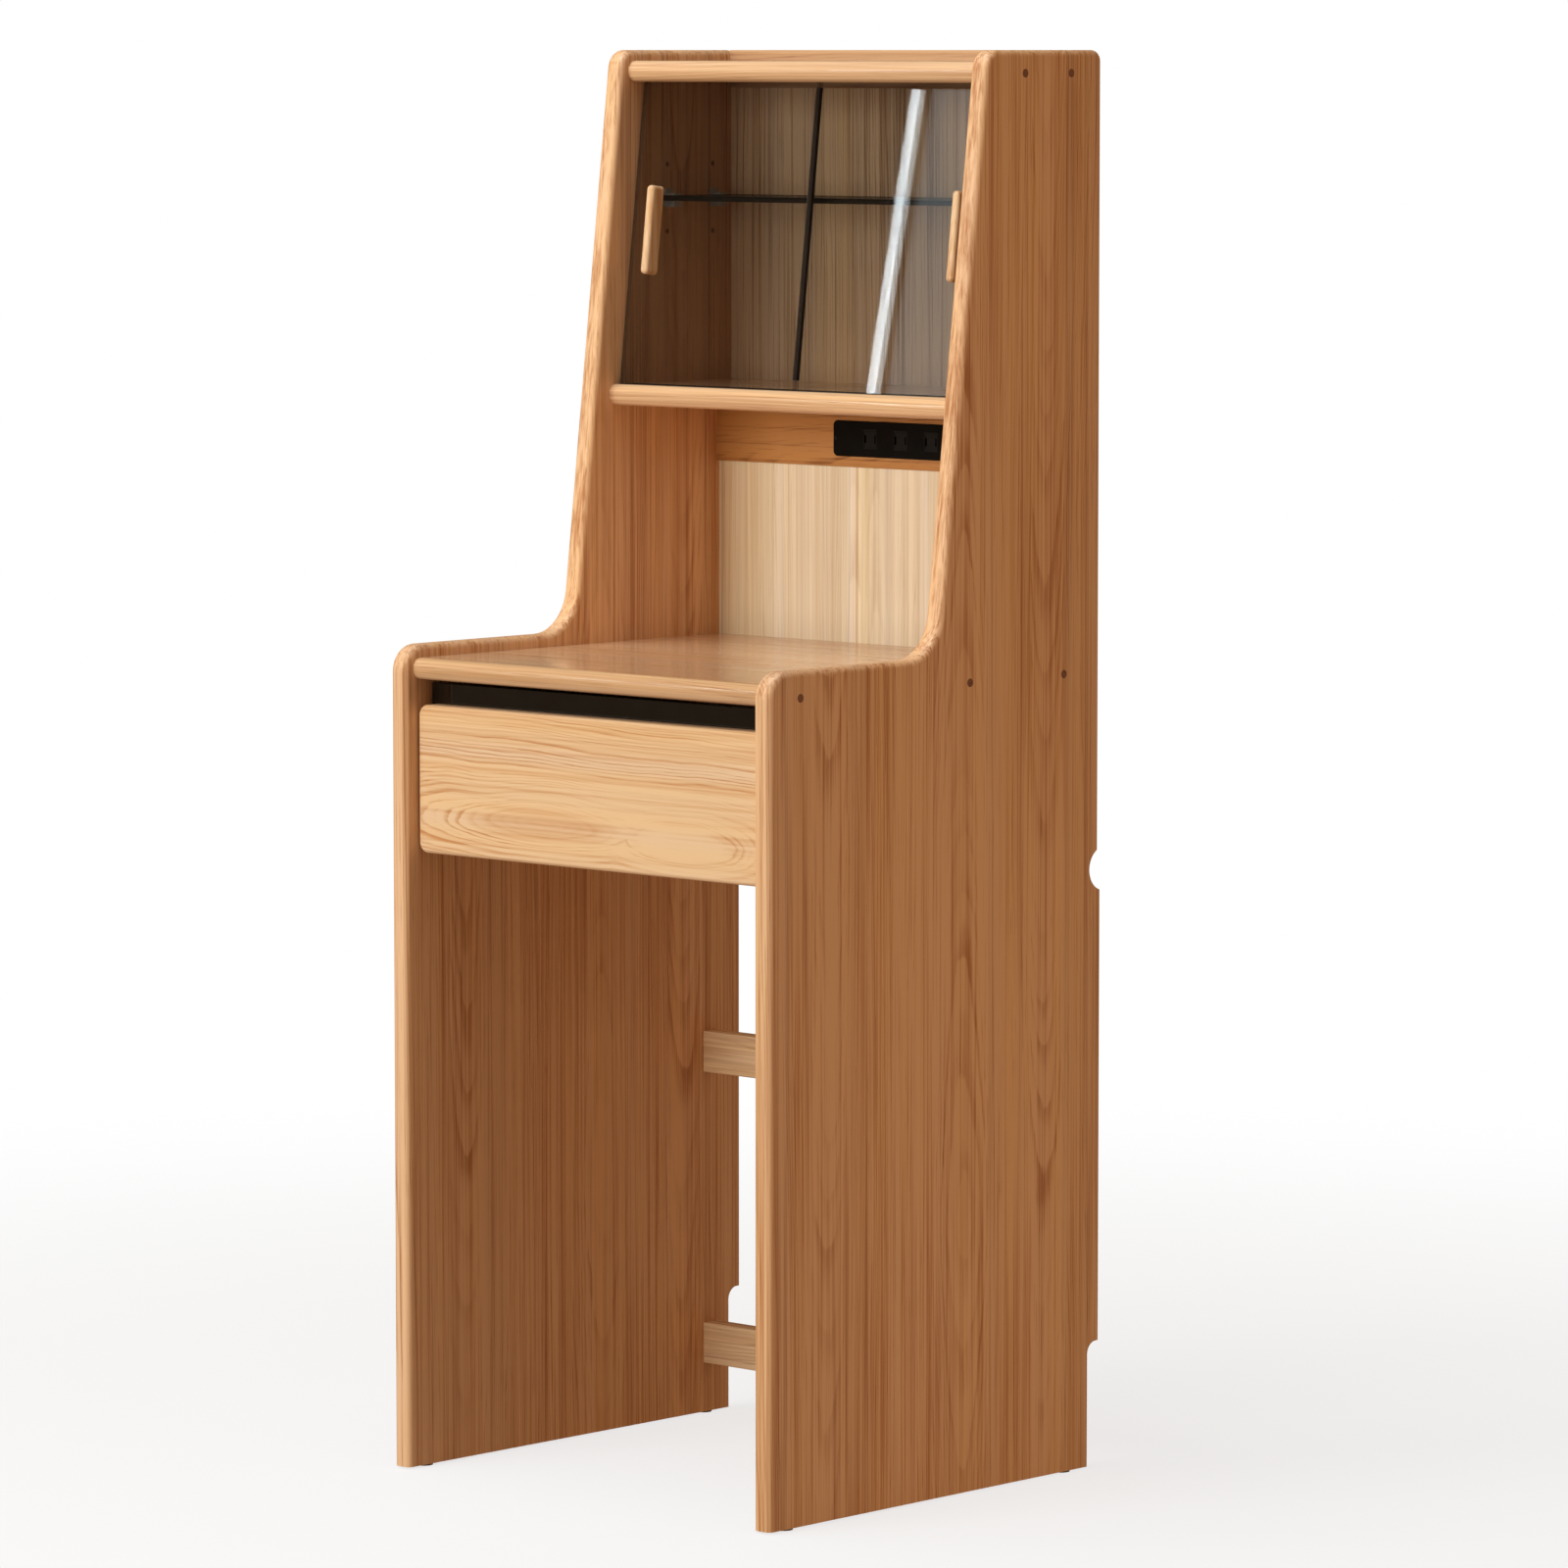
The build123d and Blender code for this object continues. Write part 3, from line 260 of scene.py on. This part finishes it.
def wood(
    name,
    grain,
    across,
    staves,
    light=LIGHT_OAK,
    dark=DARK_OAK,
    ring=0.0028,
    middle=0.0,
    wander=0.006,
    rough=0.42,
    contrast=1.0,
    lines=0.45,
    rings=sawn_rings,
    hairlines=0.0,
    gloss=0.5,
    tinge=0.35,
):
    """Oak with its rings, pores and fibres laid out in the solid, as in a sawn board.

    grain and across are the axes along the grain and across the face, and middle is where the
    board's middle lies along the third.
    """
    g = Graph(name)
    point = g.point()
    along, face = point[grain], point[across]
    third = ({"x", "y", "z"} - {grain, across}).pop()
    depth = g.math("SUBTRACT", point[third], middle)
    radius, tone, extra, clearness = rings(g, along, face, depth, staves, wander)

    turn = g.math("DIVIDE", radius, ring)
    uneven = g.noise(g.vector(g.times(turn, 0.31), 0.0, 0.0), 0.0)
    turn = g.add(turn, g.times(uneven, 2.6))
    year = g.math("FLOOR", turn)
    part = g.math("FRACT", turn)
    early = g.times(g.smooth(part, 0.0, 0.10), g.smooth(part, 0.66, 0.14))
    strength = g.add(0.20, g.times(g.random(year), 0.80))

    def strands(lengthwise, crosswise, detail, shift=0.0):
        rates = {grain: lengthwise, across: crosswise, third: crosswise}
        return g.stretched(point, rates, detail, shift)

    fading = g.smooth(strands(3.5, 26.0, 2.0, 7.3), -0.14, 0.12, 0.30, 1.20)
    early = g.times(early, strength, fading, clearness)

    pores = g.smooth(strands(24.0, 1250.0, 1.0), 0.05, 0.22)
    pores = g.times(pores, g.add(0.25, g.times(early, 1.1)))
    fibre = strands(3.0, 400.0, 2.0)
    streak = strands(1.4, 120.0, 3.0)
    cloud = strands(1.1, 16.0, 2.0)
    patch = strands(2.5, 5.0, 1.0)

    shade = g.add(
        0.30,
        g.times(early, lines * contrast),
        g.times(pores, 0.42 * contrast),
        g.times(fibre, 2.1 * contrast),
        g.times(streak, 1.50 * contrast),
        g.times(cloud, 0.90 * contrast),
        g.times(patch, 0.45 * contrast),
        -0.28 * lines * contrast,
        extra,
    )
    if hairlines:
        thin = strands(0.25, 210.0, 0.0)
        shade = g.add(shade, g.times(g.smooth(thin, 0.24, 0.33), hairlines))
    # Paler rounded edges: a little wear, and a painted sheen where the light catches them.
    edge_wear_and_sheen = g.edges(0.0035)
    shade = g.math("SUBTRACT", shade, g.times(edge_wear_and_sheen, 0.08), clamp=True)
    warm = g.times(strands(0.5, 46.0, 1.0, 3.1), tinge)
    red = g.times(tone, g.add(1.0, g.times(warm, 0.25)))
    blue = g.times(tone, g.math("SUBTRACT", 1.0, warm))
    tints = g.vector(red, tone, blue)
    colour = g.mix(1.0, g.mix(shade, light, dark), tints, "MULTIPLY")

    dull = g.add(rough, g.times(shade, 0.16), g.times(edge_wear_and_sheen, -0.07), g.times(patch, 0.10))
    g.set(Base_Color=colour, Roughness=dull)
    g.shader.inputs["Specular IOR Level"].default_value = gloss
    g.bump(g.add(g.times(pores, -1.0), g.times(early, -0.35)), 0.00022, 0.7)
    return g.material


# The drawer front's two eyes: the middle along the face and its height, half the length, the extra
# shade at the heart and how much the heart's lines fade.
EYES = ((-0.055, 0.615, 0.115, 0.28, 0.7), (0.122, 0.610, 0.074, -0.34, 0.95))
EYE_HALF_HEIGHT = 0.018
LEVEL_LINE, LEVEL_SLOPE = 0.614, -0.03  # the height and slope of the line between the eyes


def twin_eyes(g, along, face, depth, staves, wander):
    """Rings round two long eyes low on the face, and level lines above them."""
    slow = g.noise(g.vector(g.times(along, 5.0), g.times(face, 14.0), g.times(depth, 9.0)))
    quick = g.noise(g.vector(g.times(along, 18.0), g.times(face, 90.0), g.times(depth, 75.0)), 3.0)
    nearest, extra, clearness = None, 0.0, 1.0
    for middle, height, half, shade, fade in EYES:
        x = g.math("DIVIDE", g.math("SUBTRACT", along, middle), half)
        above = g.add(g.math("SUBTRACT", face, height), g.times(slow, 0.012))
        z = g.math("DIVIDE", above, EYE_HALF_HEIGHT)
        ellipse = g.math("SQRT", g.add(g.times(x, x), g.times(z, z)))
        nearest = ellipse if nearest is None else g.math("MINIMUM", nearest, ellipse)
        heart = g.smooth(ellipse, 0.95, 0.55)
        rim = g.times(g.smooth(ellipse, 0.85, 1.1), g.smooth(ellipse, 1.55, 1.2))
        extra = g.add(g.times(heart, shade), g.times(rim, -0.13), extra)
        clearness = g.times(g.add(1.0, g.times(heart, -fade)), clearness)
    line = g.add(LEVEL_LINE, g.times(along, LEVEL_SLOPE))
    level = g.math("ABSOLUTE", g.math("SUBTRACT", face, line))
    near = g.smooth(level, 0.016, 0.070, 1.0, 0.0)
    rounded = g.math("SUBTRACT", g.times(nearest, EYE_HALF_HEIGHT), level)
    radius = g.add(
        level,
        g.times(rounded, near),
        depth,
        g.times(slow, wander * 1.5),
        g.times(quick, wander * 0.34),
    )
    return radius, 1.0, extra, clearness


# ------------------------------------------------------------------ glass, plastic and metal
SMOKED = rgb(0.003, 0.0025, 0.002)


def tinted_glass(
    name,
    facing,
    clear=0.685,
    face=SMOKED,
    edge=rgb(0.10, 0.085, 0.070),
    edge_alpha=0.62,
):
    """A pane whose broad faces look along one axis, with polished edges of another tint."""
    g = Graph(name)
    point = g.point()
    normal = g.node("ShaderNodeTexCoord").outputs["Normal"]
    parts = dict(zip("xyz", g.node("ShaderNodeSeparateXYZ", Vector=normal).outputs))
    broad = g.smooth(g.math("ABSOLUTE", parts[facing]), 0.90, 0.97)
    smear = g.stretched(point, {"x": 9.0, "y": 9.0, "z": 4.0}, 3.0)
    dust = g.stretched(point, {"x": 700.0, "y": 700.0, "z": 700.0}, 1.0)
    g.set(
        Base_Color=g.mix(broad, edge, face),
        Roughness=g.math("MAXIMUM", g.add(0.014, g.times(smear, 0.03), g.times(dust, 0.01)), 0.0),
        Alpha=g.smooth(broad, 0.0, 1.0, edge_alpha, 1.0 - clear),
    )
    g.shader.inputs["IOR"].default_value = 1.5
    g.bump(smear, 0.00002, 0.2)
    return g.material


def moulded(name, colour, rough, gloss=0.5, grain=2600.0, height=0.00004, mottle=0.12):
    """Moulded plastic, rubber or enamelled glass, finely textured, paler where it is handled."""
    g = Graph(name)
    point = g.point()
    fine = g.stretched(point, dict.fromkeys("xyz", grain), 1.0)
    broad = g.stretched(point, dict.fromkeys("xyz", 45.0), 3.0)
    edge_wear_and_sheen = g.edges(0.0012)
    paler = rgb(*[c * (1 + 3 * mottle) + 0.004 for c in colour[:3]])
    handled = g.math("ADD", g.times(edge_wear_and_sheen, 0.7), g.add(broad, 0.2), clamp=True)
    g.set(
        Base_Color=g.mix(handled, colour, paler),
        Roughness=g.math("MAXIMUM", g.add(rough, g.times(broad, 0.14), g.times(edge_wear_and_sheen, -0.05)), 0.03),
    )
    g.shader.inputs["Specular IOR Level"].default_value = gloss
    g.bump(fine, height, 0.7)
    return g.material


def metal(name, colour, rough, axis="y", streak=900.0):
    """Rolled or plated metal: faint streaks along an axis, cloudy plating, brighter edges."""
    g = Graph(name)
    point = g.point()
    lines = g.stretched(point, {a: 20.0 if a == axis else streak for a in "xyz"}, 3.0)
    cloud = g.stretched(point, dict.fromkeys("xyz", 45.0), 2.0)
    edge_wear_and_sheen = g.edges(0.0008)
    base = g.mix(g.math("ADD", cloud, 0.5, clamp=True), colour, scaled(colour, 0.80))
    g.set(
        Base_Color=g.mix(g.times(edge_wear_and_sheen, 0.5), base, scaled(colour, 1.25)),
        Roughness=g.add(rough, g.times(g.add(lines, cloud), 0.22), g.times(edge_wear_and_sheen, -0.06)),
    )
    g.shader.inputs["Metallic"].default_value = 1.0
    g.bump(lines, 0.00003, 0.5)
    return g.material


def middle_of(node, axis):
    low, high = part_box(node)
    number = "xyz".index(axis)
    return (low[number] + high[number]) / 2


FRONT_LIGHT, FRONT_DARK = rgb(0.745, 0.490, 0.280), rgb(0.53, 0.230, 0.078)
PALE_LIGHT, PALE_DARK = rgb(0.84, 0.680, 0.465), rgb(0.56, 0.375, 0.215)

MATERIALS = {
    "oak_side_right": wood(
        "oak_side_right", "z", "y", SIDE_STAVES,
        middle=middle_of("side_panel_right", "x"), contrast=1.15,
    ),
    "oak_side_left": wood(
        "oak_side_left", "z", "y", SIDE_STAVES,
        middle=middle_of("side_panel_left", "x") - 0.002, contrast=1.15,
    ),
    "oak_board": wood(
        "oak_board", "x", "y", planks(5, -0.24, 0.24, (0.06, 0.09)), light=rgb(0.76, 0.470, 0.262),
        dark=rgb(0.41, 0.19, 0.080), middle=0.75, rough=0.10, wander=0.005, gloss=0.9,
        contrast=0.75,
    ),
    # Painted light: the rail oak is a paler copy of the same oak, for the light that falls on the
    # stretchers' fronts.
    "oak_rail": wood(
        "oak_rail", "x", "z", planks(7, 0.0, 1.4, (0.09, 0.14), flat=1.0),
        light=rgb(0.95, 0.69, 0.42), dark=rgb(0.62, 0.36, 0.18), middle=0.19, ring=0.0034,
    ),
    # Painted shade: the top back rail's oak is a darker copy of the rail oak, for the shade it sits
    # in.
    "oak_top_rail_painted_shade": wood(
        "oak_top_rail_painted_shade", "x", "z", planks(7, 0.0, 1.4, (0.09, 0.14), flat=1.0),
        light=rgb(0.62, 0.36, 0.185), dark=rgb(0.42, 0.19, 0.085), middle=0.19, ring=0.0034,
    ),
    # Painted shade: the socket rail's oak is a much darker copy of the rail oak, for the shadow
    # that the shelf above casts on it.
    "oak_socket_rail_painted_shade": wood(
        "oak_socket_rail_painted_shade", "x", "z", planks(7, 0.0, 1.4, (0.09, 0.14), flat=1.0),
        light=rgb(0.48, 0.205, 0.055), dark=rgb(0.22, 0.072, 0.016), middle=0.19, ring=0.0022,
        contrast=1.3, lines=0.7,
    ),
    "oak_back": wood(
        "oak_back", "z", "x", planks(14, -0.23, 0.23, (0.010, 0.034), flat=0.1, tone=0.06),
        light=PALE_LIGHT, dark=PALE_DARK, middle=0.21, contrast=0.62, hairlines=0.45, ring=0.0034,
        tinge=0.55,
    ),
    "oak_back_upper": wood(
        "oak_back_upper", "z", "x", planks(21, -0.24, 0.24, (0.05, 0.09), flat=0.5),
        light=rgb(0.97, 0.635, 0.365), dark=rgb(0.42, 0.205, 0.088), middle=0.21, contrast=1.3,
    ),
    "oak_drawer_front": wood(
        "oak_drawer_front", "x", "z", [], light=FRONT_LIGHT, dark=FRONT_DARK, middle=-0.202,
        ring=0.0034, wander=0.010, rings=twin_eyes, lines=1.1, contrast=0.62,
    ),
    "oak_handle": wood(
        "oak_handle", "z", "x", planks(4, -0.24, 0.24, (0.1, 0.1)),
        light=FRONT_LIGHT, dark=FRONT_DARK,
    ),
    "drawer_wood": wood(
        "drawer_wood", "y", "z", planks(6, 0.5, 0.8, (0.3, 0.3)), light=rgb(0.76, 0.58, 0.37),
        dark=rgb(0.60, 0.42, 0.24), rough=0.55, contrast=0.6,
    ),
    "beech_dowel": wood(
        "beech_dowel", "x", "y", planks(8, -0.3, 0.3, (0.3, 0.3)), light=rgb(0.74, 0.54, 0.34),
        dark=rgb(0.56, 0.36, 0.20), contrast=0.5,
    ),
    "walnut_plug": wood(
        "walnut_plug", "x", "y", planks(9, -0.3, 0.3, (0.3, 0.3)), light=rgb(0.22, 0.090, 0.045),
        dark=rgb(0.13, 0.050, 0.025),
    ),
    "pane_glass": tinted_glass("pane_glass", "y"),
    "shelf_glass": tinted_glass("shelf_glass", "z", edge=rgb(0.010, 0.009, 0.008), edge_alpha=0.93),
    "black_glass": moulded("black_glass", rgb(0.003, 0.0026, 0.002), 0.06, height=0.0),
    "black_rubber": moulded("black_rubber", rgb(0.010, 0.009, 0.009), 0.55),
    "black_plastic": moulded("black_plastic", rgb(0.018, 0.012, 0.008), 0.45),
    "clear_plastic": tinted_glass(
        "clear_plastic", "y", clear=0.45, face=rgb(0.52, 0.55, 0.53), edge=rgb(0.60, 0.63, 0.62),
    ),
    "glide_plastic": moulded("glide_plastic", rgb(0.10, 0.09, 0.08), 0.5),
    "screw_steel": metal("screw_steel", rgb(0.56, 0.54, 0.50), 0.34),
    "black_screw": metal("black_screw", rgb(0.035, 0.035, 0.037), 0.42),
    "zinc_cam": metal("zinc_cam", rgb(0.48, 0.48, 0.49), 0.50),
    "slide_steel": metal("slide_steel", rgb(0.56, 0.57, 0.59), 0.30),
    "cage_steel": metal("cage_steel", rgb(0.66, 0.66, 0.67), 0.22),
    "black_housing": moulded("black_housing", rgb(0.002, 0.0017, 0.0012), 0.40, gloss=0.10),
    "black_outlet": moulded("black_outlet", rgb(0.006, 0.0055, 0.005), 0.30, gloss=0.2),
    "contact_brass": metal("contact_brass", rgb(0.72, 0.50, 0.20), 0.30),
    "usb_steel": metal("usb_steel", rgb(0.42, 0.42, 0.43), 0.36),
    "circuit_board": moulded("circuit_board", rgb(0.02, 0.13, 0.05), 0.4),
}
BY_NODE = {
    "side_panel_right": "oak_side_right",
    "side_panel_left": "oak_side_left",
    "top_back_rail": "oak_top_rail_painted_shade",
    "socket_rail": "oak_socket_rail_painted_shade",
    "upper_back_panel": "oak_back_upper",
    "glass_shelf": "shelf_glass",
    "door_glass_left": "pane_glass",
    "door_glass_right": "pane_glass",
}

for part in frame["record"]["subparts"]:
    node = frame["nodes"][part["node"]]
    node.data.materials.clear()
    node.data.materials.append(MATERIALS[BY_NODE.get(part["node"], part["material_slot"])])

# ------------------------------------------------------------------ stage, world and lights
FLOOR_RADIUS = 7.0
WHITE = rgb(1.0, 1.0, 1.0)


def floor():
    """A pale round floor that fades out into the white background."""
    bpy.ops.mesh.primitive_circle_add(vertices=96, radius=FLOOR_RADIUS, fill_type="NGON")
    made = bpy.context.object
    made.name = "floor"
    g = Graph("floor")
    point = g.point()
    away = g.math("SQRT", g.add(g.times(point["x"], point["x"]), g.times(point["y"], point["y"])))
    mottle = g.stretched(point, dict.fromkeys("xyz", 3.0), 3.0)
    g.set(
        Base_Color=g.mix(g.add(mottle, 0.5), rgb(0.90, 0.895, 0.89), rgb(0.87, 0.865, 0.86)),
        Roughness=g.add(0.6, g.times(mottle, 0.1)),
        Alpha=g.smooth(away, 0.5, 2.6, 0.25, 0.0),
    )
    made.data.materials.append(g.material)


floor()

ROOM = rgb(0.235, 0.145, 0.080)  # light that the walls and ceiling send back
world = bpy.data.worlds.new("world")
bpy.context.scene.world = world
world.use_nodes = True
backdrop = world.node_tree.nodes.new("ShaderNodeMix")
backdrop.data_type = "RGBA"
backdrop.inputs[MIX_A].default_value = ROOM
backdrop.inputs[MIX_B].default_value = WHITE
path = world.node_tree.nodes.new("ShaderNodeLightPath")
world.node_tree.links.new(path.outputs["Is Camera Ray"], backdrop.inputs[0])
background = world.node_tree.nodes["Background"]
world.node_tree.links.new(backdrop.outputs[MIX_RESULT], background.inputs["Color"])


def area_light(name, place, size, power, colour, target=(0, 0, 0.7)):
    data = bpy.data.lights.new(name, "AREA")
    data.shape = "RECTANGLE"
    data.size, data.size_y = size
    data.energy = power
    data.color = colour
    lamp = bpy.data.objects.new(name, data)
    lamp.location = place
    lamp.rotation_euler = (Vector(place) - Vector(target)).to_track_quat("Z", "Y").to_euler()
    bpy.context.scene.collection.objects.link(lamp)
    return lamp


# The key is two lights in one place: most of it is too diffuse to be mirrored in the panes.
KEY_PLACE, KEY_SIZE, KEY_COLOUR = (-1.0, -4.6, 1.5), (2.8, 2.2), (0.95, 1.0, 0.97)
key = area_light("key", KEY_PLACE, KEY_SIZE, 122, KEY_COLOUR)
key.visible_glossy = False
area_light("key_sheen", KEY_PLACE, KEY_SIZE, 70, KEY_COLOUR)
area_light("overhead", (-0.3, -0.8, 3.4), (2.0, 2.0), 62, (0.80, 0.92, 1.0))
area_light("warm_fill", (3.4, 0.4, 0.55), (2.4, 2.0), 21, (1.0, 0.69, 0.45), (0, 0, 0.45))

# The doors lean back with the side panels' front edges, so the camera sees in them what is above
# and to the left.
RAKE = math.radians(6.87)
PANE_NORMAL = Vector((0, -math.cos(RAKE), math.sin(RAKE)))
STREAK_TOP, STREAK_FOOT = (0.119, 1.31), (0.089, 0.985)  # x and z on the right pane
LAMP_DISTANCE = 2.6  # from the pane


def mirrored(x, z, away):
    """The place that the camera sees mirrored at a point of the right pane."""
    low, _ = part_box("door_glass_right")
    seen = Vector((x, low.y + (z - low.z) * math.tan(RAKE), z))
    ray = (seen - camera.location).normalized()
    return seen + (ray - 2 * ray.dot(PANE_NORMAL) * PANE_NORMAL) * away


def mirrored_panel(name, width, beside, power, colour):
    """A thin light that the pane shows along the streak, moved to the right by beside."""
    head, foot = [mirrored(*end, LAMP_DISTANCE) for end in (STREAK_TOP, STREAK_FOOT)]
    up = head - foot
    back = (foot - mirrored(*STREAK_FOOT, 0.0)).normalized()
    side = up.cross(back).normalized()
    middle = foot + up / 2 + side * beside
    lamp = area_light(name, middle, (width, up.length), power, colour)
    turn = Matrix((side, up.normalized(), side.cross(up).normalized())).transposed()
    lamp.rotation_euler = turn.to_euler()


mirrored_panel("tube", 0.011, 0.0, 0.62, (0.88, 0.97, 1.0))
mirrored_panel("haze", 0.16, 0.10, 0.80, (0.80, 0.95, 1.0))

bpy.context.scene.view_settings.view_transform = "Standard"
